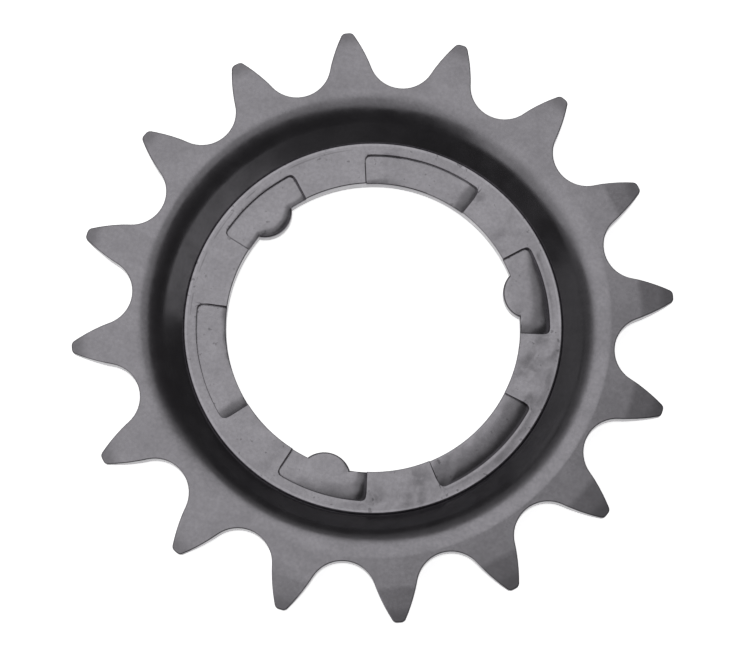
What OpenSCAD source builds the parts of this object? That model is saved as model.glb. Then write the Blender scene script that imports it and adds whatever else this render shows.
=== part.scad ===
// Dished sprocket for the driver of a bicycle's rear hub, pressed and cut from one plate.
// It lies on the back of its flange, with the hollow side of the dish up. The origin is on
// the bore's axis, in the plane of the flange's back.

/* [Teeth] */
// Distance between the pins of the chain
chain_pitch = 12.7; // [12.6:0.1:14.5]
// Number of teeth
teeth = 16; // [16:1:24]
// Diameter of the chain's rollers
roller_d = 7.75; // [7.4:0.05:8.1]
// Diameter of a roller seat, beyond the roller's own
seat_play = 0.25; // [0.05:0.05:0.35]
// Angle of the arc that a roller lies in
seat_angle = 127.4; // [118:0.2:134]
// Radius of the rounded side of a tooth, above its seats
flank_r = 20.5; // [17.5:0.5:27]
// Height of the tooth tips over the pitch circle
tip_rise = 3; // [2.4:0.05:3.3]
// Radius of the two corners of a tooth tip
tip_corner_r = 0.65; // [0.4:0.05:0.7]

/* [Tooth chamfers] */
// Width of the slope on each face of a tooth, in from the tip circle
chamfer_w = 3.9; // [2.5:0.1:4.5]
// Depth of that slope at the tip
chamfer_h = 0.55; // [0.2:0.05:0.8]

/* [Dish] */
// Thickness of the plate
plate_t = 2.2; // [1.8:0.1:2.6]
// Height of the toothed ring's face over the flange's face
dish_h = 3.05; // [2.4:0.05:3.4]
// Slope of the dished wall, up from the flange
wall_angle = 42.5; // [38:0.5:48]
// Height of the flange's rim over the foot of that wall
rim_step = 0.25; // [0.1:0.05:0.35]
// Diameter of the flange's flat face, at the foot of the wall
flange_d = 44.8; // [43.4:0.1:45.4]
// Radius of the bend from the wall to the toothed ring, on the hollow side
ring_bend_r = 5.5; // [3.2:0.1:6]
// Radius of the bend from the wall to the flange's back
flange_bend_r = 2.4; // [1:0.1:3.4]

/* [Bore] */
// Diameter of the bore
bore_d = 34.9; // [34:0.1:37]
// Number of driving lugs, with a pocket round each and one between each two
lugs = 3; // [2:1:3]
// Radius of a lug's round nose
lug_r = 3.2; // [2.4:0.1:4]
// Distance that a lug stands into the bore
lug_rise = 1.55; // [1:0.05:2.2]
// Radius of the soft edge on a lug's upper face
lug_edge_r = 0.55; // [0.1:0.05:0.8]

/* [Pockets] */
// Diameter over the outer walls of the pockets in the flange's face
pocket_d = 41.9; // [39.6:0.1:42.8]
// Depth of the pockets
pocket_depth = 0.5; // [0.2:0.05:1]
// Angle that a pocket round a lug takes up
lug_pocket_angle = 30.3; // [24:0.1:50]
// Angle that a pocket between two lugs takes up
long_pocket_angle = 40.2; // [20:0.1:60]
// Radius of a pocket's outer corners
pocket_corner_r = 0.6; // [0.3:0.05:1]

/* [Hidden] */
$fa = 3;
$fs = 0.35;
// Arcs that touch a line or another arc run into it by this much, so that the two cross
lap = 0.004;
// Distance that a cutting shape runs past the face it opens
past = 1;
// Direction of the first lug and of the tooth over it
first_dir = -90;

pitch_r = chain_pitch / (2 * sin(180 / teeth));
seat_r = roller_d / 2 + seat_play / 2;
tip_r = pitch_r + tip_rise;
tooth_step = 360 / teeth;
lug_step = 360 / lugs;

bore_r = bore_d / 2;
flange_r = flange_d / 2;
pocket_r = pocket_d / 2;
flange_top = plate_t;
wall_foot_z = flange_top - rim_step;
ring_bottom = dish_h;
ring_top = dish_h + plate_t;
pocket_floor = flange_top - pocket_depth;

// Point at distance r from the origin, in the direction a
function polar(r, a) = [r * cos(a), r * sin(a)];

// Crossing of two circles, the one to the left of the way from p to q
function crossing(p, rp, q, rq) =
    let (d = norm(q - p))
    let (along = (rp * rp - rq * rq + d * d) / (2 * d))
    let (aside = sqrt(rp * rp - along * along))
    let (u = (q - p) / d)
    p + along * u + aside * [-u.y, u.x];

// A tooth points along +X. Its roller seats lie half a step to each side. The side of the
// tooth on the -Y hand is an arc that touches the end of the seat there.
seat_centre = polar(pitch_r, -tooth_step / 2);
seat_end_dir = 180 - tooth_step / 2 - seat_angle / 2;
seat_end = seat_centre + polar(seat_r, seat_end_dir);
flank_centre = seat_centre + polar(seat_r + flank_r - lap, seat_end_dir);
// Inside this radius the blank is whole between two seats
web_r = norm(seat_end);
// Centre of the tip corner that touches that side and the tip circle
corner_centre = crossing(flank_centre, flank_r - tip_corner_r, [0, 0], tip_r - tip_corner_r);

// What has to come off a sharp corner to leave a rounded one: the patch between the two
// directions a and b from the rounding's centre, less the rounding itself
module corner_patch(centre, r, a, b) {
    reach = r / cos((b - a) / 2) + past;
    translate(centre)
    difference() {
        polygon([[0, 0], polar(reach, a), polar(reach / cos((b - a) / 2), (a + b) / 2), polar(reach, b)]);
        circle(r = r + lap);
    }
}

// Direction from p to q
function heading(p, q) = atan2(q.y - p.y, q.x - p.x);

module tooth() {
    difference() {
        intersection() {
            translate(flank_centre)
            circle(r = flank_r);
            translate([flank_centre.x, -flank_centre.y])
            circle(r = flank_r);
            circle(r = tip_r);
        }
        for (side = [0, 1])
            mirror([0, side])
            corner_patch(corner_centre, tip_corner_r,
                heading(flank_centre, corner_centre), heading([0, 0], corner_centre));
    }
}

module ring_outline() {
    difference() {
        union() {
            circle(r = web_r);
            for (i = [0 : teeth - 1])
                rotate(first_dir + i * tooth_step)
                tooth();
        }
        for (i = [0 : teeth - 1])
            rotate(first_dir + (i + 0.5) * tooth_step)
            translate([pitch_r, 0])
            circle(r = seat_r);
    }
}

// The plate's section: x is the distance from the axis and y the height
wall_rise = tan(wall_angle);
wall_drop = plate_t / cos(wall_angle);
front_foot = [flange_r, wall_foot_z];
front_knee = [flange_r + (ring_top - wall_foot_z) / wall_rise, ring_top];
back_knee = [flange_r + (ring_bottom - wall_foot_z + wall_drop) / wall_rise, ring_bottom];
back_foot = [flange_r + (wall_drop - wall_foot_z) / wall_rise, 0];
ring_bend_in_r = max(ring_bend_r - plate_t, 0.5);

// Centre of a rounding with radius r in a bend of the wall, under it or over it
function under(knee, r) = knee + [r * tan(wall_angle / 2), -r];
function over(foot, r) = foot + [-r * tan(wall_angle / 2), r];

module plate_section() {
    rim_r = tip_r + past;
    chamfer_at_rim = chamfer_h * (chamfer_w + past) / chamfer_w;
    difference() {
        union() {
            polygon([
                [bore_r, 0], back_foot, back_knee,
                [tip_r - chamfer_w, ring_bottom], [rim_r, ring_bottom + chamfer_at_rim],
                [rim_r, ring_top - chamfer_at_rim], [tip_r - chamfer_w, ring_top],
                front_knee, front_foot, [flange_r, flange_top], [bore_r, flange_top]
            ]);
            corner_patch(under(back_knee, ring_bend_in_r), ring_bend_in_r, 90, 90 + wall_angle);
        }
        corner_patch(under(front_knee, ring_bend_r), ring_bend_r, 90, 90 + wall_angle);
        corner_patch(over(back_foot, flange_bend_r), flange_bend_r, -90, wall_angle - 90);
    }
}

module plate() {
    intersection() {
        rotate_extrude()
        plate_section();
        translate([0, 0, -past])
        linear_extrude(ring_top + 2 * past)
        ring_outline();
    }
}

// A lug is part of a round boss with a soft upper edge, cut off inside the flange
module lug() {
    intersection() {
        translate([bore_r - lug_rise + lug_r, 0, 0])
        rotate_extrude()
        difference() {
            square([lug_r, pocket_floor]);
            corner_patch([lug_r - lug_edge_r, pocket_floor - lug_edge_r], lug_edge_r, 0, 90);
        }
        cylinder(r = (bore_r + pocket_r) / 2, h = pocket_floor);
    }
}

// A pocket runs outward from the bore, between two planes through the axis
module pocket(angle) {
    corner_dir = angle / 2 - asin(pocket_corner_r / (pocket_r - pocket_corner_r));
    translate([0, 0, pocket_floor])
    linear_extrude(pocket_depth + past)
    difference() {
        intersection() {
            circle(r = pocket_r);
            polygon([[0, 0], polar(2 * pocket_r, -angle / 2), polar(2 * pocket_r, angle / 2)]);
        }
        for (side = [0, 1])
            mirror([0, side])
            corner_patch(polar(pocket_r - pocket_corner_r, corner_dir), pocket_corner_r,
                corner_dir, angle / 2 + 90);
    }
}

module sprocket() {
    color("dimgray")
    difference() {
        plate();
        for (i = [0 : lugs - 1])
            rotate(first_dir + i * lug_step) {
                pocket(lug_pocket_angle);
                rotate(lug_step / 2)
                pocket(long_pocket_angle);
            }
    }
    color("dimgray")
    for (i = [0 : lugs - 1])
        rotate(first_dir + i * lug_step)
        lug();
}

sprocket();
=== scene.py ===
import math

import bmesh
import bpy
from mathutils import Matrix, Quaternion, Vector


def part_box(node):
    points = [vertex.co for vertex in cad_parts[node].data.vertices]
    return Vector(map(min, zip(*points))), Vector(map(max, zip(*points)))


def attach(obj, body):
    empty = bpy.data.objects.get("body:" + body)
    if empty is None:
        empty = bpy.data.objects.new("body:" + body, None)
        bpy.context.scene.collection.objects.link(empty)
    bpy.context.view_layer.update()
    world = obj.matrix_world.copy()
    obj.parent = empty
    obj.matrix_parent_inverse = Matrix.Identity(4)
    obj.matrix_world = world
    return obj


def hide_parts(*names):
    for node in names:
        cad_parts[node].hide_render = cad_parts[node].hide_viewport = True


MM = 0.001

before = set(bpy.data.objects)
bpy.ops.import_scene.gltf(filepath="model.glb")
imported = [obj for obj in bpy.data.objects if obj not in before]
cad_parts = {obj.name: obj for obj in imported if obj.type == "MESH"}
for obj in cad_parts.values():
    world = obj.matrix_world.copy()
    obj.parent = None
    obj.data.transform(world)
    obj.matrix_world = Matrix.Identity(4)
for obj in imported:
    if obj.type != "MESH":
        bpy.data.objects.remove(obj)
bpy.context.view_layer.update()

# Sizes that come from the frame
high_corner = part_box("sprocket")[1]
TIP_R = high_corner[0]
RING_TOP = high_corner[2]

# Teeth. The chamfer's drop is that of the whole face at the tip, crown included.
TEETH = 16
TOOTH_STEP = 360 / TEETH
TIP_RISE = 3 * MM
PITCH_R = TIP_R - TIP_RISE
SEAT_R = 4 * MM
SEAT_ANGLE = 127.4
FLANK_R = 20.5 * MM
TIP_CORNER_R = 0.65 * MM
CHAMFER_W = 3.9 * MM
CHAMFER_FROM = TIP_R - CHAMFER_W
CHAMFER_DROP = 0.6 * MM
CREASE_HALF = 0.35 * MM
CREASES = (CHAMFER_FROM - CREASE_HALF, CHAMFER_FROM, CHAMFER_FROM + CREASE_HALF)

# Dished plate
PLATE_T = 2.2 * MM
WALL_ANGLE = 42.5
RIM_R = 22.4 * MM
RIM_STEP = 0.25 * MM
RING_BEND_R = 5.5 * MM
FLANGE_BEND_R = 2.4 * MM
CROWN_ANGLE = 1.4

# Bore, lugs and pockets
BORE_R = 17.45 * MM
LUGS = 3
LUG_R = 3.2 * MM
LUG_RISE = 1.55 * MM
LUG_EDGE_R = 0.3 * MM
POCKET_R = 20.95 * MM
POCKET_DEPTH = 0.43 * MM
POCKET_CORNER_R = 0.6 * MM
LUG_POCKET_HALF = 15.15
LONG_POCKET_HALF = 20.1

# The pockets' floors are crowned, and sink most towards the edges that face the worn side:
# how far from an outer wall, an end wall, the bore or a lug's nose it begins, and by how much
WORN_DIR = -30
OUTER_SINK = (3.1 * MM, 0.42 * MM)
END_SINK = (1.7 * MM, 0.25 * MM)
BORE_SINK = (0.8 * MM, 0.12 * MM)
NOSE_SINK = (1.3 * MM, 0.34 * MM)
UNWORN_SHARE = 0.04
LEAST_WIDTH_SHARE = 0.3
FLOOR_CELL = 0.3 * MM

# An edge sinks in full where the cosine of its turn from the worn side is at least this
FULL_WEAR_COS = 0.8

# A face counts as level where its normal's height is more than this
LEVEL_NORMAL_Z = 0.99

# The flange's face sinks a little between a shoulder outside the pockets and the rim's lip
SHOULDER_W = 0.4 * MM
LIP_W = 0.45 * MM
LIP_H = 0.04 * MM

# Rounding of the broken edges, and of the sharper ones round the pockets
EDGE_R = 0.13 * MM
POCKET_EDGE_R = 0.07 * MM
ROUNDING_STEPS = 4

# An edge that turns by more than the first counts as a ridge, and one under the second is smooth
RIDGE_ANGLE = 30
SMOOTH_ANGLE = 32

# The first lug, and the tooth over it, point this way
FIRST_DIR = -90

FLANGE_TOP = PLATE_T
MID_Z = RING_TOP - PLATE_T / 2
WALL_FOOT_Z = FLANGE_TOP - RIM_STEP
POCKET_FLOOR = FLANGE_TOP - POCKET_DEPTH
CENTRE = Vector((0, 0, 0))

# Slack for places, for a place on a lug's nose, and for directions in degrees
EPS = 0.004 * MM
NOSE_EPS = 0.02 * MM
DIR_EPS = 0.01
HAIR = 0.02


def tan_deg(a):
    return math.tan(math.radians(a))


def polar(r, a):
    return Vector((r * math.cos(math.radians(a)), r * math.sin(math.radians(a)), 0))


def reach(co):
    return math.hypot(co.x, co.y)


def heading(co):
    return math.degrees(math.atan2(co.y, co.x))


# Modelling by hand: each helper acts on the mesh that is being edited

def begin(name, at):
    """A new mesh with a single corner point, left in edit mode."""
    bpy.ops.object.select_all(action="DESELECT")
    bpy.ops.mesh.primitive_plane_add(size=MM, location=(0, 0, 0))
    piece = bpy.context.object
    piece.name = name
    piece.data.name = name
    bpy.ops.object.mode_set(mode="EDIT")
    bpy.ops.mesh.select_all(action="SELECT")
    bpy.ops.mesh.merge(type="CENTER")
    bpy.ops.transform.translate(value=at)
    return piece


def choose(kind, test):
    """Select only the points, by their place, or the edges or faces that pass a test."""
    bpy.ops.mesh.select_mode(type=kind)
    bpy.ops.mesh.select_all(action="DESELECT")
    mesh = bmesh.from_edit_mesh(bpy.context.object.data)
    if kind == "VERT":
        for point in mesh.verts:
            point.select_set(test(point.co))
    if kind == "EDGE":
        for edge in mesh.edges:
            edge.select_set(test(edge))
    if kind == "FACE":
        for face in mesh.faces:
            face.select_set(test(face))
    mesh.select_flush_mode()
    bmesh.update_edit_mesh(bpy.context.object.data)


def turn_selected(degrees, centre, axis="Z"):
    bpy.ops.transform.rotate(value=-math.radians(degrees), orient_axis=axis, center_override=centre)


def sweep(centre, degrees, steps):
    """Draw an arc on from the chosen point, counter-clockwise where degrees is positive."""
    bpy.ops.mesh.spin(steps=steps, angle=-math.radians(degrees), center=centre, axis=(0, 0, 1))


def repeat_round(count):
    """Copy what is chosen round the axis, to make count of it in all."""
    bpy.ops.mesh.spin(steps=count - 1, angle=-2 * math.pi * (count - 1) / count,
                      center=CENTRE, axis=(0, 0, 1), dupli=True)


def weld():
    bpy.ops.mesh.select_all(action="SELECT")
    bpy.ops.mesh.remove_doubles(threshold=EPS)


def mirror_across(scale, centre):
    """Copy what is chosen to the other side of a plane through centre."""
    bpy.ops.mesh.duplicate()
    bpy.ops.transform.resize(value=scale, center_override=centre)


def extrude_row(radius_from, z_from, radius_to, z_to):
    """Carry the chosen edge ring on to another radius and height."""
    bpy.ops.mesh.extrude_edges_move()
    ratio = radius_to / radius_from
    bpy.ops.transform.resize(value=(ratio, ratio, 1), center_override=CENTRE)
    bpy.ops.transform.translate(value=(0, 0, z_to - z_from))


def add_point(at):
    """Put one new point into the mesh that is being edited, and choose it."""
    bpy.ops.mesh.select_mode(type="VERT")
    bpy.ops.mesh.select_all(action="DESELECT")
    bpy.ops.mesh.primitive_plane_add(size=MM, location=(0, 0, 0))
    bpy.ops.mesh.merge(type="CENTER")
    bpy.ops.transform.translate(value=at)


def line_to(start, end):
    """Draw a straight edge from the chosen point, which lies at start."""
    bpy.ops.mesh.extrude_vertices_move(TRANSFORM_OT_translate={"value": end - start})


def close_face(test):
    """Fill the closed loop of points that pass a test, or join the two that do."""
    choose("VERT", test)
    bpy.ops.mesh.edge_face_add()


def near(a, b, slack=EPS):
    return abs(a - b) < slack


def middle(edge):
    return (edge.verts[0].co + edge.verts[1].co) / 2


# The section of the dished plate

KNEE_R = RIM_R + (RING_TOP - WALL_FOOT_Z) / tan_deg(WALL_ANGLE)
FACE_FROM_R = KNEE_R + RING_BEND_R * tan_deg(WALL_ANGLE / 2)
BACK_FOOT_R = RIM_R + (PLATE_T / math.cos(math.radians(WALL_ANGLE)) - WALL_FOOT_Z) / tan_deg(WALL_ANGLE)
BACK_FACE_R = BACK_FOOT_R - FLANGE_BEND_R * tan_deg(WALL_ANGLE / 2)
ROUND_STEPS = 480
BORE_STEPS_PER_DEGREE = 1.3
BEND_STEPS = 8


def arc_rows(centre_r, centre_z, radius, start, end, steps):
    """Radius and height of the rows on a bend of the plate."""
    rows = []
    for i in range(steps + 1):
        a = math.radians(start + (end - start) * i / steps)
        rows.append((centre_r + radius * math.cos(a), centre_z + radius * math.sin(a)))
    return rows


def ring_bend(radius):
    """The bend from the toothed ring into the wall, on the face that has this radius."""
    return arc_rows(FACE_FROM_R, RING_TOP - RING_BEND_R, radius, 90, 90 + WALL_ANGLE, BEND_STEPS)


def front_rows():
    return ring_bend(RING_BEND_R) + [(RIM_R, WALL_FOOT_Z), (RIM_R, FLANGE_TOP)]


def back_rows():
    foot = arc_rows(BACK_FACE_R, FLANGE_BEND_R, FLANGE_BEND_R, WALL_ANGLE - 90, -90, BEND_STEPS)
    return ring_bend(RING_BEND_R - PLATE_T) + foot


def model_dish():
    """Both faces of the dished part, drawn ring by ring from the toothed face to the flange."""
    sides = []
    for name, rows in (("dish_front", front_rows()), ("dish_back", back_rows())):
        bpy.ops.object.select_all(action="DESELECT")
        bpy.ops.mesh.primitive_circle_add(vertices=ROUND_STEPS, radius=rows[0][0], location=(0, 0, 0))
        side = bpy.context.object
        side.name = name
        bpy.ops.object.mode_set(mode="EDIT")
        bpy.ops.mesh.select_mode(type="EDGE")
        bpy.ops.mesh.select_all(action="SELECT")
        bpy.ops.transform.translate(value=(0, 0, rows[0][1]))
        for row, following in zip(rows, rows[1:]):
            extrude_row(row[0], row[1], following[0], following[1])
        bpy.ops.object.mode_set(mode="OBJECT")
        sides.append(side)
    return sides


# The teeth. Each is drawn pointing along +X, and then copied round the axis.

SEAT_CENTRE = polar(PITCH_R, -TOOTH_STEP / 2)
ROOT_DIR = 180 - TOOTH_STEP / 2
SEAT_END_DIR = ROOT_DIR - SEAT_ANGLE / 2
FLANK_CENTRE = SEAT_CENTRE + polar(SEAT_R + FLANK_R, SEAT_END_DIR)
CROWN_FROM = FACE_FROM_R * math.cos(math.radians(TOOTH_STEP / 2))
CROWN_DROP = (CHAMFER_FROM - CROWN_FROM) * tan_deg(CROWN_ANGLE)
TIP_SLOPE = math.degrees(math.atan((CHAMFER_DROP - CROWN_DROP) / (TIP_R - CHAMFER_FROM)))
CHAMFER_ANGLE = TIP_SLOPE - CROWN_ANGLE
SEAT_STEPS = 9
FLANK_STEPS = (2, 1, 1, 4)
TIP_CORNER_STEPS = 5
TIP_STEPS = 2


def crossing(p, rp, q, rq):
    """Where two circles cross, to the left of the way from p to q."""
    d = (q - p).length
    along = (rp * rp - rq * rq + d * d) / (2 * d)
    aside = math.sqrt(rp * rp - along * along)
    u = (q - p) / d
    return p + along * u + aside * Vector((-u.y, u.x, 0))


CORNER_CENTRE = crossing(FLANK_CENTRE, FLANK_R - TIP_CORNER_R, CENTRE, TIP_R - TIP_CORNER_R)


def flank_dir(x):
    """Direction, from the flank's centre, of its point at distance x along the tooth."""
    return -math.degrees(math.acos((x - FLANK_CENTRE.x) / FLANK_R))


def draw_tooth_outline():
    """Half of the outline is swept from the root of a gap to the tip, then mirrored."""
    sweep(SEAT_CENTRE, -SEAT_ANGLE / 2, SEAT_STEPS)
    stops = [SEAT_END_DIR - 180]
    stops += [flank_dir(x) for x in CREASES]
    stops.append(heading(CORNER_CENTRE - FLANK_CENTRE))
    for start, end, steps in zip(stops, stops[1:], FLANK_STEPS):
        sweep(FLANK_CENTRE, end - start, steps)
    sweep(CORNER_CENTRE, heading(CORNER_CENTRE) - stops[-1], TIP_CORNER_STEPS)
    sweep(CENTRE, -heading(CORNER_CENTRE), TIP_STEPS)
    bpy.ops.mesh.select_all(action="SELECT")
    mirror_across((1, -1, 1), CENTRE)
    weld()


def fill_tooth_face():
    """The flat, the two soft rows of the crease and the sloped tip become faces."""
    root = polar(PITCH_R - SEAT_R, -TOOTH_STEP / 2)
    choose("VERT", lambda co: (co - root).length < EPS)
    line_to(root, polar(FACE_FROM_R, -TOOTH_STEP / 2))
    sweep(CENTRE, TOOTH_STEP, ROUND_STEPS // TEETH)
    close_face(lambda co: near(heading(co), TOOTH_STEP / 2, DIR_EPS))
    for x in CREASES:
        close_face(lambda co: near(co.x, x))
    close_face(lambda co: co.x < CREASES[0] + EPS)
    for x, following in zip(CREASES, CREASES[1:]):
        close_face(lambda co: x - EPS < co.x < following + EPS)
    close_face(lambda co: co.x > CREASES[2] - EPS)


def slope_tooth_face():
    """The tip slopes down from the crease, and the whole face is slightly crowned."""
    choose("VERT", lambda co: co.x > CHAMFER_FROM + EPS)
    crease = Vector((CHAMFER_FROM, 0, 0))
    spread = 1 / math.cos(math.radians(CHAMFER_ANGLE))
    bpy.ops.transform.resize(value=(spread, 1, 1), center_override=crease)
    turn_selected(CHAMFER_ANGLE, crease, "Y")
    choose("VERT", lambda co: reach(co) > FACE_FROM_R + EPS)
    turn_selected(CROWN_ANGLE, Vector((CROWN_FROM, 0, 0)), "Y")


def model_teeth():
    teeth = begin("teeth", polar(PITCH_R - SEAT_R, -TOOTH_STEP / 2))
    draw_tooth_outline()
    fill_tooth_face()
    slope_tooth_face()
    bpy.ops.mesh.select_all(action="SELECT")
    bpy.ops.transform.translate(value=(0, 0, RING_TOP))
    choose("EDGE", lambda e: e.is_boundary and min(reach(v.co) for v in e.verts) > FACE_FROM_R + EPS)
    bpy.ops.mesh.extrude_edges_move()
    bpy.ops.transform.resize(value=(1, 1, 0), center_override=(0, 0, MID_Z))
    bpy.ops.mesh.select_all(action="SELECT")
    mirror_across((1, 1, -1), (0, 0, MID_Z))
    weld()
    bpy.ops.mesh.select_all(action="SELECT")
    repeat_round(TEETH)
    weld()
    bpy.ops.object.mode_set(mode="OBJECT")
    return teeth


# The flange. One lug, its pocket, a long pocket and the two lands beside it are drawn
# between two planes through the axis, and then copied round it.

LUG_CENTRE = polar(BORE_R - LUG_RISE + LUG_R, 0)
NOSE_HALF = math.degrees(math.acos(
    (LUG_CENTRE.x ** 2 + LUG_R ** 2 - BORE_R ** 2) / (2 * LUG_CENTRE.x * LUG_R)))
NOSE_DIR = heading(LUG_CENTRE + polar(LUG_R, 180 - NOSE_HALF))
LUG_STEP = 360 / LUGS
LONG_FROM = LUG_STEP / 2 - LONG_POCKET_HALF
LONG_TO = LUG_STEP / 2 + LONG_POCKET_HALF
PERIOD_END = LUG_STEP - LUG_POCKET_HALF
RIM_STEP_ANGLE = 360 / ROUND_STEPS
CORNER_START_R = (POCKET_R - POCKET_CORNER_R) * math.cos(
    math.asin(POCKET_CORNER_R / (POCKET_R - POCKET_CORNER_R)))
LIP_R = RIM_R - LIP_W
SHOULDER_R = POCKET_R + SHOULDER_W
NOSE_STEPS = 24
POCKET_CORNER_STEPS = 6


def rim_dir(a):
    """Direction of the rim's point that lies nearest to direction a."""
    return round(a / RIM_STEP_ANGLE) * RIM_STEP_ANGLE


def up(z):
    return Vector((0, 0, z))


def sweep_bore(start, end):
    sweep(CENTRE, end - start, round(BORE_STEPS_PER_DEGREE * (end - start)))


def draw_bore():
    """The bore's outline, with one lug, swept at the back and raised to its edges."""
    add_point(polar(BORE_R, -LUG_POCKET_HALF))
    sweep_bore(-LUG_POCKET_HALF, -NOSE_DIR)
    sweep(LUG_CENTRE, -2 * NOSE_HALF, NOSE_STEPS)
    stops = (NOSE_DIR, LUG_POCKET_HALF, LONG_FROM, LONG_TO, PERIOD_END)
    for start, end in zip(stops, stops[1:]):
        sweep_bore(start, end)
    choose("EDGE", lambda e: True)
    bpy.ops.mesh.extrude_edges_move()
    bpy.ops.transform.translate(value=up(POCKET_FLOOR))
    choose("EDGE", lambda e: near(middle(e).z, POCKET_FLOOR) and on_land(heading(middle(e))))
    bpy.ops.mesh.extrude_edges_move()
    bpy.ops.transform.translate(value=up(POCKET_DEPTH))


def on_land(a):
    return LUG_POCKET_HALF < a < LONG_FROM or LONG_TO < a < PERIOD_END


def draw_pocket(start, end):
    """The wall of a pocket, drawn along its foot and raised to the flange's face."""
    turn = math.degrees(math.asin(POCKET_CORNER_R / (POCKET_R - POCKET_CORNER_R)))
    corner_at = POCKET_R - POCKET_CORNER_R
    add_point(polar(BORE_R, start) + up(POCKET_FLOOR))
    line_to(polar(BORE_R, start), polar(CORNER_START_R, start))
    sweep(polar(corner_at, start + turn), 90 + turn, POCKET_CORNER_STEPS)
    sweep(CENTRE, end - start - 2 * turn, round(BORE_STEPS_PER_DEGREE * (end - start)))
    sweep(polar(corner_at, end - turn), 90 + turn, POCKET_CORNER_STEPS)
    line_to(polar(CORNER_START_R, end), polar(BORE_R, end))
    choose("EDGE", lambda e: is_pocket_foot(e, start, end))
    bpy.ops.mesh.extrude_edges_move()
    bpy.ops.transform.translate(value=up(POCKET_DEPTH))


def is_pocket_foot(edge, start, end):
    """A line drawn at the floor's height, and none of the bore's own edges."""
    level = all(near(v.co.z, POCKET_FLOOR) for v in edge.verts)
    outside = max(reach(v.co) for v in edge.verts) > BORE_R + EPS
    return level and outside and start - HAIR < heading(middle(edge)) < end + HAIR


def draw_back():
    """The flange's back, between the bore and the bend of the wall."""
    add_point(polar(BACK_FACE_R, rim_dir(-LUG_POCKET_HALF)))
    sweep(CENTRE, LUG_STEP, ROUND_STEPS // LUGS)
    choose("EDGE", lambda e: near(middle(e).z, 0))
    bpy.ops.mesh.bridge_edge_loops()


def draw_rim():
    """The rim's lip, and the edges that part the bands over the pockets from the lands."""
    rows = ((RIM_R, FLANGE_TOP), (LIP_R, FLANGE_TOP - LIP_H), (SHOULDER_R, FLANGE_TOP))
    for radius, z in rows:
        add_point(polar(radius, rim_dir(-LUG_POCKET_HALF)) + up(z))
        sweep(CENTRE, LUG_STEP, ROUND_STEPS // LUGS)
    for outer, inner in zip(rows, rows[1:]):
        choose("EDGE", lambda e: is_ring_at(e, *outer) or is_ring_at(e, *inner))
        bpy.ops.mesh.bridge_edge_loops()
    add_point(polar(BORE_R, PERIOD_END) + up(FLANGE_TOP))
    line_to(polar(BORE_R, PERIOD_END), polar(CORNER_START_R, PERIOD_END))
    weld()
    for a in (-LUG_POCKET_HALF, LUG_POCKET_HALF, LONG_FROM, LONG_TO, PERIOD_END):
        inner = polar(CORNER_START_R, a) + up(FLANGE_TOP)
        outer = polar(SHOULDER_R, rim_dir(a)) + up(FLANGE_TOP)
        close_face(lambda co: (co - inner).length < EPS or (co - outer).length < EPS)


def is_ring_at(edge, radius, z):
    return all(near(reach(v.co), radius) and near(v.co.z, z) for v in edge.verts)


def between(co, start, end, inner_r, z):
    a = heading(co)
    if near(reach(co), SHOULDER_R):
        return near(co.z, z) and rim_dir(start) - HAIR < a < rim_dir(end) + HAIR
    if reach(co) > SHOULDER_R:
        return False
    return near(co.z, z) and start - HAIR < a < end + HAIR and reach(co) > inner_r - EPS


def borders_band(edge, middle_dir, half):
    """An edge along the band between a pocket's outer wall and the shoulder."""
    reaches = [reach(v.co) for v in edge.verts]
    level = all(near(v.co.z, FLANGE_TOP) for v in edge.verts)
    in_band = min(reaches) > CORNER_START_R - EPS and max(reaches) < SHOULDER_R + EPS
    is_spoke = max(reaches) - min(reaches) > POCKET_CORNER_R
    return level and in_band and not is_spoke and abs(heading(middle(edge)) - middle_dir) < half


def fill_flange():
    """Bands and lands on the flange's face, and the floors of the two pockets."""
    inside_r = BORE_R - LUG_RISE
    for middle_dir, half in ((0, LUG_POCKET_HALF), (LUG_STEP / 2, LONG_POCKET_HALF)):
        choose("EDGE", lambda e: borders_band(e, middle_dir, half))
        bpy.ops.mesh.bridge_edge_loops()
    close_face(lambda co: between(co, LUG_POCKET_HALF, LONG_FROM, inside_r, FLANGE_TOP))
    close_face(lambda co: between(co, LONG_TO, PERIOD_END, inside_r, FLANGE_TOP))
    close_face(lambda co: between(co, -LUG_POCKET_HALF, LUG_POCKET_HALF, inside_r, POCKET_FLOOR))
    close_face(lambda co: between(co, LONG_FROM, LONG_TO, inside_r, POCKET_FLOOR))


def model_flange():
    flange = begin("flange", CENTRE)
    bpy.ops.mesh.delete(type="VERT")
    draw_bore()
    draw_back()
    draw_pocket(-LUG_POCKET_HALF, LUG_POCKET_HALF)
    draw_pocket(LONG_FROM, LONG_TO)
    draw_rim()
    fill_flange()
    bpy.ops.mesh.select_all(action="SELECT")
    repeat_round(LUGS)
    weld()
    bpy.ops.object.mode_set(mode="OBJECT")
    return flange


def join_pieces(name, pieces):
    bpy.ops.object.select_all(action="DESELECT")
    for piece in pieces:
        piece.select_set(True)
    bpy.context.view_layer.objects.active = pieces[0]
    bpy.ops.object.join()
    pieces[0].name = name
    pieces[0].data.name = name
    return pieces[0]


def nearest_lug_dir(co):
    return FIRST_DIR + round((heading(co) - FIRST_DIR) / LUG_STEP) * LUG_STEP


def lies_on_nose(edge):
    """An upper edge of a lug, where it stands into the bore."""
    co = middle(edge)
    nearest_lug = polar(LUG_CENTRE.x, nearest_lug_dir(co))
    away = (co - nearest_lug - up(co.z)).length
    return near(co.z, POCKET_FLOOR) and near(away, LUG_R, NOSE_EPS)


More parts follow.
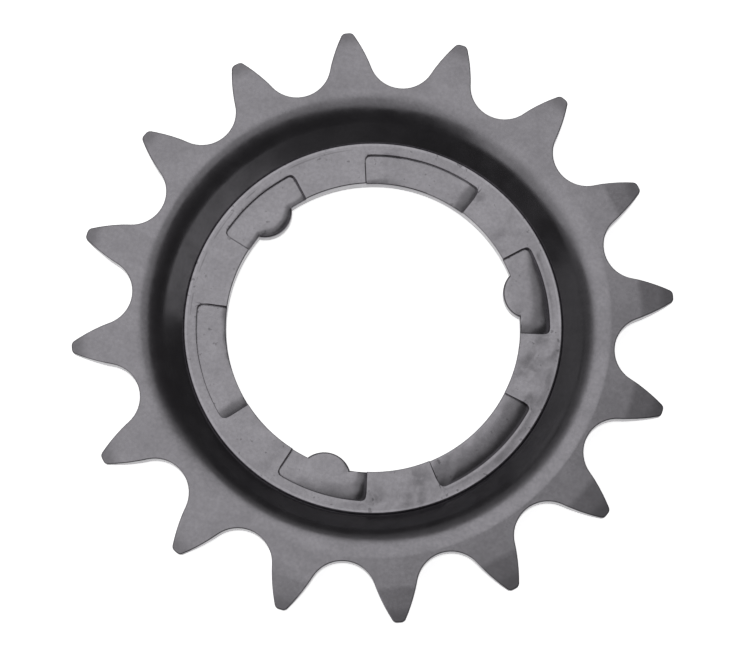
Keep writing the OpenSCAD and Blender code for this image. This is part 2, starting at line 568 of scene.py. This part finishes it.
def model_sprocket():
    sprocket = join_pieces("toothed_plate", [model_teeth()] + model_dish() + [model_flange()])
    bpy.ops.object.mode_set(mode="EDIT")
    weld()
    bpy.ops.mesh.select_all(action="SELECT")
    bpy.ops.mesh.delete_loose()
    bpy.ops.mesh.select_all(action="SELECT")
    bpy.ops.mesh.normals_make_consistent(inside=False)
    turn_selected(FIRST_DIR, CENTRE)
    bpy.ops.object.mode_set(mode="OBJECT")
    return sprocket


def weigh_edges(mesh, weights):
    """Give each edge that a test picks the share of the bevel's width that it gets."""
    shape = bmesh.new()
    shape.from_mesh(mesh)
    layer = shape.edges.layers.float.new("bevel_weight_edge")
    for edge in shape.edges:
        for test, weight in weights:
            if test(edge):
                edge[layer] = weight
                break
    shape.to_mesh(mesh)
    shape.free()


def is_ridge(edge):
    """An edge that stands out, as a cut or pressed one does before it is rounded."""
    return edge.is_convex and edge.calc_face_angle(0) > math.radians(RIDGE_ANGLE)


def is_pocket_edge(edge):
    return is_ridge(edge) and all(
        near(v.co.z, FLANGE_TOP) and BORE_R + EPS < reach(v.co) < POCKET_R + EPS for v in edge.verts)


def is_upright(edge):
    return abs(edge.verts[0].co.z - edge.verts[1].co.z) > EPS and near(
        reach(edge.verts[0].co), reach(edge.verts[1].co))


def pocket_at(co):
    """The pocket that a point lies in: its middle direction, half its angle, and its lug or none."""
    lug_dir = nearest_lug_dir(co)
    aside = heading(co) - lug_dir
    if abs(aside) < LUG_POCKET_HALF + HAIR:
        return lug_dir, LUG_POCKET_HALF, polar(LUG_CENTRE.x, lug_dir)
    return lug_dir + math.copysign(LUG_STEP / 2, aside), LONG_POCKET_HALF, None


def sunk_by(co):
    """How far the floor of a pocket has sunk at a point, from the edges round it."""
    middle_dir, half, lug_centre = pocket_at(co)
    flat = Vector((co.x, co.y, 0))
    aside = heading(co) - middle_dir
    inner = (reach(co) - BORE_R, heading(co) + 180, BORE_SINK)
    if lug_centre and LUG_R - (flat - lug_centre).length > inner[0]:
        inner = (LUG_R - (flat - lug_centre).length, heading(flat - lug_centre), NOSE_SINK)
    edges = [(POCKET_R - reach(co), heading(co), OUTER_SINK), inner]
    for side in (-1, 1):
        gap = reach(co) * math.sin(math.radians(half - side * aside))
        edges.append((gap, middle_dir + side * (half + 90), END_SINK))
    drop = 0
    for gap, facing, (width, depth) in edges:
        towards_worn = math.cos(math.radians(facing - WORN_DIR))
        share = min(max(towards_worn / FULL_WEAR_COS, UNWORN_SHARE), 1)
        width *= max(share, LEAST_WIDTH_SHARE)
        drop += depth * share * max(1 - gap / width, 0) ** 2
    return drop


def is_pocket_floor(face):
    return near(face.calc_center_median().z, POCKET_FLOOR) and face.normal.z > LEVEL_NORMAL_Z


def sink_floors():
    """Cut the pockets' floors into small cells, and let each point sink to its place."""
    bpy.ops.object.mode_set(mode="EDIT")
    choose("FACE", is_pocket_floor)
    bpy.ops.mesh.hide(unselected=True)
    steps = round(POCKET_R / FLOOR_CELL)
    for cut_dir in (WORN_DIR, WORN_DIR + 90):
        for i in range(-steps, steps + 1):
            bpy.ops.mesh.select_all(action="SELECT")
            bpy.ops.mesh.bisect(plane_co=polar(i * FLOOR_CELL, cut_dir),
                                plane_no=polar(1, cut_dir), threshold=EPS)
    mesh = bmesh.from_edit_mesh(bpy.context.object.data)
    for point in mesh.verts:
        if not point.hide:
            point.co.z -= sunk_by(point.co)
    bmesh.update_edit_mesh(bpy.context.object.data)
    bpy.ops.mesh.reveal(select=False)
    bpy.ops.object.mode_set(mode="OBJECT")


def finish_mesh(piece):
    """Round the edges, sink the floors, and let flat faces keep their direction in the shading."""
    bpy.ops.object.select_all(action="DESELECT")
    piece.select_set(True)
    bpy.context.view_layer.objects.active = piece
    rounding = piece.modifiers.new("rounding", "BEVEL")
    rounding.width = LUG_EDGE_R
    rounding.segments = ROUNDING_STEPS
    rounding.limit_method = "WEIGHT"
    rounding.use_clamp_overlap = False
    bpy.ops.object.modifier_apply(modifier=rounding.name)
    sink_floors()
    bpy.ops.object.shade_smooth_by_angle(angle=math.radians(SMOOTH_ANGLE))
    evening = piece.modifiers.new("evening", "WEIGHTED_NORMAL")
    evening.keep_sharp = True
    bpy.ops.object.modifier_apply(modifier=evening.name)


sprocket = model_sprocket()
weigh_edges(sprocket.data, (
    (lies_on_nose, 1.0),
    (is_upright, 0.0),
    (is_pocket_edge, POCKET_EDGE_R / LUG_EDGE_R),
    (is_ridge, EDGE_R / LUG_EDGE_R),
))
finish_mesh(sprocket)
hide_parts("sprocket")
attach(sprocket, "root")


# Finish: dark oxidised steel with a satin sheen

STEEL_TINT = (0.25, 0.242, 0.259)
ROUGHNESS_LOW = 0.18
ROUGHNESS_HIGH = 0.26
WAVE_HEIGHT = 0.04 * MM
GRAIN_HEIGHT = 0.002 * MM
FLANGE_WAVES = 8

# What the tint is multiplied by where each mark is strongest: painted shade in the hollow, in the
# pockets, on the lands and at the tooth tips, a painted highlight on the rim's lip, a plainly lighter
# flange, and real scuffs and pits
HOLLOW_SHADE_TONE = 0.6
FLANGE_TONE = 1.13
RIM_HIGHLIGHT_TONE = 1.18
POCKET_SHADE_TONE = 0.6
LAND_SHADE_TONE = 0.68
TIP_SHADE_TONE = 0.7
SCUFF_TONE = 0.78
PIT_TONE = 0.65

# Radii between which the painted shade on the dished wall fades out, and the painted shade on the tooth
# tips comes in
HOLLOW_SHADE_FADE = (25 * MM, 27 * MM)
TIP_SHADE_FADE = (33.4 * MM, 35 * MM)

# The painted shade in the pockets is darkest this far under a pocket's floor, and no floor lies as deep
# as the second
POCKET_SHADE_DEPTH = 0.35 * MM
FLOOR_LIMIT = 0.6 * MM

# Radius of the scuffs, and how far to the unworn side they fade in
SCUFF_R = 21.7 * MM
SCUFF_FADE = (12 * MM, 18 * MM)

# Radius, direction and size of the patches of painted shade on the lands
LAND_SHADE_SPOTS = (
    (20.0 * MM, 13.3, 1.9 * MM),
    (20.3 * MM, -72, 2.1 * MM),
    (20.6 * MM, -8, 1.7 * MM),
    (20.1 * MM, 68, 1.5 * MM),
    (19.2 * MM, 3, 2.9 * MM),
    (18.9 * MM, -56, 2.2 * MM),
)


def add_node(tree, kind, **settings):
    node = tree.nodes.new(kind)
    for name, value in settings.items():
        if hasattr(node, name):
            setattr(node, name, value)
        else:
            node.inputs[name.replace("_", " ")].default_value = value
    return node


def feed(tree, socket, value):
    """Link another node's output to a socket, or give it a plain value."""
    if isinstance(value, bpy.types.NodeSocket):
        tree.links.new(value, socket)
    else:
        socket.default_value = value


def combine(tree, operation, a, b=0.0):
    node = add_node(tree, "ShaderNodeMath", operation=operation)
    feed(tree, node.inputs[0], a)
    feed(tree, node.inputs[1], b)
    return node.outputs[0]


def scale_to(tree, value, start, end, low, high):
    """Carry a value over from one range to another, with soft ends."""
    node = add_node(tree, "ShaderNodeMapRange", interpolation_type="SMOOTHSTEP",
                    From_Min=start, From_Max=end, To_Min=low, To_Max=high)
    feed(tree, node.inputs["Value"], value)
    return node.outputs[0]


def noise(tree, place, scale, detail, distortion=0):
    node = add_node(tree, "ShaderNodeTexNoise", Scale=scale, Detail=detail, Distortion=distortion)
    feed(tree, node.inputs["Vector"], place)
    return node.outputs[0]


def stretch(tree, place, factors):
    node = add_node(tree, "ShaderNodeVectorMath", operation="MULTIPLY")
    feed(tree, node.inputs[0], place)
    node.inputs[1].default_value = factors
    return node.outputs[0]


def distance_from_axis(tree, place):
    node = add_node(tree, "ShaderNodeVectorMath", operation="LENGTH")
    feed(tree, node.inputs[0], stretch(tree, place, (1, 1, 0)))
    return node.outputs["Value"]


def steel_tone_and_painted_light(tree, place, radius):
    """How light the oxide is, with light and shade painted in: painted shade in the hollow, in the
    pockets, on the lands and at the tooth tips, a painted highlight on the rim's lip, lighter on the
    flange, and random tone, scuffs and pits.
    """
    # Painted shade over the dished wall, from the rim's foot until it fades out towards the toothed
    # ring
    hollow_shade = combine(tree, "MULTIPLY", scale_to(tree, radius, RIM_R, RIM_R + 0.3 * MM, 0, 1),
                     scale_to(tree, radius, *HOLLOW_SHADE_FADE, 1, 0))
    # A painted highlight on the band of the rim's lip
    rim_highlight = combine(tree, "MULTIPLY", scale_to(tree, radius, LIP_R, LIP_R + 0.2 * MM, 0, 1),
                         scale_to(tree, radius, RIM_R - 0.1 * MM, RIM_R, 1, 0))
    shares = (
        # Painted shade on the dished wall
        scale_to(tree, hollow_shade, 0, 1, 1, HOLLOW_SHADE_TONE),
        scale_to(tree, radius, RIM_R - 0.1 * MM, RIM_R, FLANGE_TONE, 1),
        # Painted highlight on the rim's lip
        scale_to(tree, rim_highlight, 0, 1, 1, RIM_HIGHLIGHT_TONE),
        # Painted shade in the pockets
        scale_to(tree, pocket_shade(tree, place, radius), 0, 1, 1, POCKET_SHADE_TONE),
        # Painted shade on the lands
        scale_to(tree, land_shade(tree, place), 0, 1, 1, LAND_SHADE_TONE),
        # Painted shade at the tooth tips
        scale_to(tree, radius, *TIP_SHADE_FADE, 1, TIP_SHADE_TONE),
        scale_to(tree, noise(tree, place, 170, 5, 0.6), 0.25, 0.75, 0.93, 1.07),
        scale_to(tree, noise(tree, stretch(tree, place, (1, 5, 1)), 260, 3), 0.25, 0.75, 0.97, 1.03),
        scale_to(tree, noise(tree, place, 2600, 3), 0.2, 0.8, 0.92, 1.08),
        scale_to(tree, scuffs(tree, place, radius), 0, 1, 1, SCUFF_TONE),
        scale_to(tree, pits(tree, place, radius), 0, 1, 1, PIT_TONE),
    )
    tone = 1.0
    for share in shares:
        tone = combine(tree, "MULTIPLY", tone, share)
    return tone


def pocket_shade(tree, place, radius):
    """Painted shade where a pocket's floor has sunk, and along its walls."""
    axes = add_node(tree, "ShaderNodeSeparateXYZ")
    feed(tree, axes.inputs[0], place)
    depth = combine(tree, "SUBTRACT", POCKET_FLOOR, axes.outputs["Z"])
    sunk = combine(tree, "MULTIPLY", scale_to(tree, depth, 0, POCKET_SHADE_DEPTH, 0, 1),
                   combine(tree, "LESS_THAN", depth, FLOOR_LIMIT))
    on_wall = combine(tree, "MULTIPLY", combine(tree, "LESS_THAN", depth, -0.01 * MM),
                      combine(tree, "GREATER_THAN", depth, 0.02 * MM - POCKET_DEPTH))
    in_pocket = combine(tree, "MULTIPLY", combine(tree, "GREATER_THAN", radius, BORE_R + 0.2 * MM),
                        combine(tree, "LESS_THAN", radius, POCKET_R + POCKET_EDGE_R))
    return combine(tree, "MULTIPLY", combine(tree, "MAXIMUM", sunk, on_wall), in_pocket)


def land_shade(tree, place):
    """Soft, mottled patches of painted shade on the lands, beside the worn ends of the pockets."""
    total = 0.0
    for radius, a, size in LAND_SHADE_SPOTS:
        away = add_node(tree, "ShaderNodeVectorMath", operation="DISTANCE")
        feed(tree, away.inputs[0], place)
        away.inputs[1].default_value = polar(radius, a) + up(FLANGE_TOP)
        total = combine(tree, "MAXIMUM", total, scale_to(tree, away.outputs["Value"], 0, size, 1, 0))
    blotches = scale_to(tree, noise(tree, place, 900, 4, 0.5), 0.35, 0.6, 0.4, 1)
    return combine(tree, "MULTIPLY", total, blotches)


def scuffs(tree, place, radius):
    """Broken marks rubbed round the flange's face, just inside the rim, on the unworn side."""
    across = combine(tree, "ABSOLUTE", combine(tree, "SUBTRACT", radius, SCUFF_R))
    line = scale_to(tree, across, 0.03 * MM, 0.12 * MM, 1, 0)
    aside = add_node(tree, "ShaderNodeVectorMath", operation="DOT_PRODUCT")
    feed(tree, aside.inputs[0], place)
    aside.inputs[1].default_value = polar(1, WORN_DIR + 180)
    unworn = scale_to(tree, aside.outputs["Value"], *SCUFF_FADE, 0, 1)
    breaks = scale_to(tree, noise(tree, place, 420, 3), 0.42, 0.55, 0, 1)
    return combine(tree, "MULTIPLY", combine(tree, "MULTIPLY", line, unworn), breaks)


def pits(tree, place, radius):
    """Small dark pits on the flange, more of them along its rim than elsewhere."""
    by_rim = scale_to(tree, radius, LIP_R - 0.4 * MM, LIP_R + 0.2 * MM, 0, 1)
    grain = combine(tree, "ADD", noise(tree, place, 1500, 4), combine(tree, "MULTIPLY", by_rim, 0.05))
    on_flange = scale_to(tree, radius, RIM_R, RIM_R + 0.1 * MM, 1, 0)
    return combine(tree, "MULTIPLY", scale_to(tree, grain, 0.66, 0.72, 0, 1), on_flange)


def add_bump(tree, height, distance, below):
    bump = add_node(tree, "ShaderNodeBump", Strength=1.0, Distance=distance)
    feed(tree, bump.inputs["Height"], height)
    if below:
        tree.links.new(below, bump.inputs["Normal"])
    return bump.outputs[0]


def dark_steel():
    steel = bpy.data.materials.new("dark_steel")
    steel.use_nodes = True
    tree = steel.node_tree
    surface = tree.nodes["Principled BSDF"]
    place = add_node(tree, "ShaderNodeTexCoord").outputs["Object"]
    radius = distance_from_axis(tree, place)
    tint = add_node(tree, "ShaderNodeVectorMath", operation="SCALE")
    tint.inputs[0].default_value = STEEL_TINT
    feed(tree, tint.inputs["Scale"], steel_tone_and_painted_light(tree, place, radius))
    feed(tree, surface.inputs["Base Color"], tint.outputs[0])
    surface.inputs["Metallic"].default_value = 1
    feed(tree, surface.inputs["Roughness"],
         scale_to(tree, noise(tree, place, 400, 4), 0.3, 0.7, ROUGHNESS_LOW, ROUGHNESS_HIGH))
    waves = combine(tree, "MULTIPLY", combine(tree, "SUBTRACT", noise(tree, place, 140, 2, 0.4), 0.5),
                    scale_to(tree, radius, SHOULDER_R, RIM_R, FLANGE_WAVES, 1))
    normal = add_bump(tree, waves, WAVE_HEIGHT, None)
    normal = add_bump(tree, noise(tree, place, 2000, 4), GRAIN_HEIGHT, normal)
    tree.links.new(normal, surface.inputs["Normal"])
    return steel


sprocket.data.materials.clear()
sprocket.data.materials.append(dark_steel())


# Camera, at the photograph's viewing angle

CAMERA_AZIMUTH = 18.08
CAMERA_ELEVATION = 78.45
CAMERA_ROLL = -0.549
CAMERA_DISTANCE = 352.5 * MM
CAMERA_LENS = 143.4
SENSOR_WIDTH = 36
CAMERA_AIM = Vector((0.287, -0.508, 2.6)) * MM

# Soft boxes under the ceiling, in metres and degrees: name, centre, width, length and radiance
CEILING = 1.0
BOX_TURN = -20
SOFT_BOXES = (
    ("strip_box", (-0.46, -0.025), 0.855, 2.89, 0.92),
    ("square_box", (-0.4, 0.19), 1.5, 1.07, 0.39),
    ("wide_box", (-0.92, 0.515), 2.44, 4.23, 0.18),
)

# Pale cards at the sides and in front: name, azimuth and radiance
CARD_WIDTH = 1.2
CARD_HEIGHT = 0.35
CARD_ELEVATION = 10
CARD_DISTANCE = 1.0
CARDS = (
    ("right_card", 85, 0.5),
    ("left_card", 263, 0.2),
    ("front_card", 38, 0.14),
)

# Colour of the room that the metal reflects
DIM_ROOM = (0.086, 0.084, 0.086, 1)

# White that the camera, and the metal's reflections, see in the floor beside its own light
SEEN_WHITE = 0.88
MIRRORED_WHITE = 0.8


def direction(azimuth, elevation):
    a = math.radians(azimuth)
    e = math.radians(elevation)
    return Vector((math.sin(a) * math.cos(e), -math.cos(a) * math.cos(e), math.sin(e)))


def place_facing(thing, aim, towards, distance, roll=0):
    """Set a camera or lamp at a distance from its aim, looking back at it."""
    thing.location = aim + distance * towards
    facing = (-towards).to_track_quat("-Z", "Y") @ Quaternion((0, 0, 1), math.radians(roll))
    thing.rotation_euler = facing.to_euler()


def add_camera():
    camera = bpy.data.objects.new("camera", bpy.data.cameras.new("camera"))
    bpy.context.scene.collection.objects.link(camera)
    camera.data.lens = CAMERA_LENS
    camera.data.sensor_width = SENSOR_WIDTH
    camera.data.clip_start = 10 * MM
    towards = direction(CAMERA_AZIMUTH, CAMERA_ELEVATION)
    place_facing(camera, CAMERA_AIM, towards, CAMERA_DISTANCE, CAMERA_ROLL)
    bpy.context.scene.camera = camera


def add_soft_box(name, width, height, radiance):
    """A rectangular lamp whose face shines with the given radiance."""
    lamp = bpy.data.lights.new(name, "AREA")
    lamp.shape = "RECTANGLE"
    lamp.size = width
    lamp.size_y = height
    lamp.energy = radiance * math.pi * width * height
    box = bpy.data.objects.new(name, lamp)
    bpy.context.scene.collection.objects.link(box)
    return box


def hang_soft_box(name, centre, width, height, radiance):
    """A soft box under the ceiling, which shines straight down."""
    box = add_soft_box(name, width, height, radiance)
    box.location = (centre[0], centre[1], CEILING)
    box.rotation_euler = (0, 0, math.radians(BOX_TURN))


def add_lights():
    for name, centre, width, length, radiance in SOFT_BOXES:
        hang_soft_box(name, centre, width, length, radiance)
    for name, azimuth, radiance in CARDS:
        card = add_soft_box(name, CARD_WIDTH, CARD_HEIGHT, radiance)
        place_facing(card, CENTRE, direction(azimuth, CARD_ELEVATION), CARD_DISTANCE)


def add_room():
    """A dim room for the metal to reflect, which the camera itself sees as white."""
    room = bpy.data.worlds.new("room")
    bpy.context.scene.world = room
    room.use_nodes = True
    tree = room.node_tree
    dim = tree.nodes["Background"]
    dim.inputs["Color"].default_value = DIM_ROOM
    white = add_node(tree, "ShaderNodeBackground")
    white.inputs["Color"].default_value = (1, 1, 1, 1)
    either = add_node(tree, "ShaderNodeMixShader")
    tree.links.new(add_node(tree, "ShaderNodeLightPath").outputs["Is Camera Ray"], either.inputs[0])
    tree.links.new(dim.outputs[0], either.inputs[1])
    tree.links.new(white.outputs[0], either.inputs[2])
    tree.links.new(either.outputs[0], tree.nodes["World Output"].inputs["Surface"])


def add_floor():
    """A pale floor that the camera sees as white, with a faint shadow left on it."""
    bpy.ops.object.select_all(action="DESELECT")
    bpy.ops.mesh.primitive_plane_add(size=4, location=(0, 0, 0))
    floor = bpy.context.object
    floor.name = "floor"
    paper = bpy.data.materials.new("paper")
    paper.use_nodes = True
    tree = paper.node_tree
    matt = tree.nodes["Principled BSDF"]
    matt.inputs["Base Color"].default_value = (0.8, 0.8, 0.8, 1)
    matt.inputs["Roughness"].default_value = 0.8
    ray = add_node(tree, "ShaderNodeLightPath")
    seen = combine(tree, "MULTIPLY", ray.outputs["Is Camera Ray"], SEEN_WHITE)
    slant = add_node(tree, "ShaderNodeLayerWeight", Blend=0.5).outputs["Facing"]
    steep = scale_to(tree, slant, 0.15, 0.6, MIRRORED_WHITE, 0)
    mirrored = combine(tree, "MULTIPLY", ray.outputs["Is Glossy Ray"], steep)
    white = add_node(tree, "ShaderNodeEmission")
    feed(tree, white.inputs["Strength"], combine(tree, "MAXIMUM", seen, mirrored))
    both = add_node(tree, "ShaderNodeAddShader")
    tree.links.new(matt.outputs[0], both.inputs[0])
    tree.links.new(white.outputs[0], both.inputs[1])
    tree.links.new(both.outputs[0], tree.nodes["Material Output"].inputs["Surface"])
    floor.data.materials.append(paper)


add_camera()
add_lights()
add_room()
add_floor()

bpy.context.scene.view_settings.view_transform = "Standard"
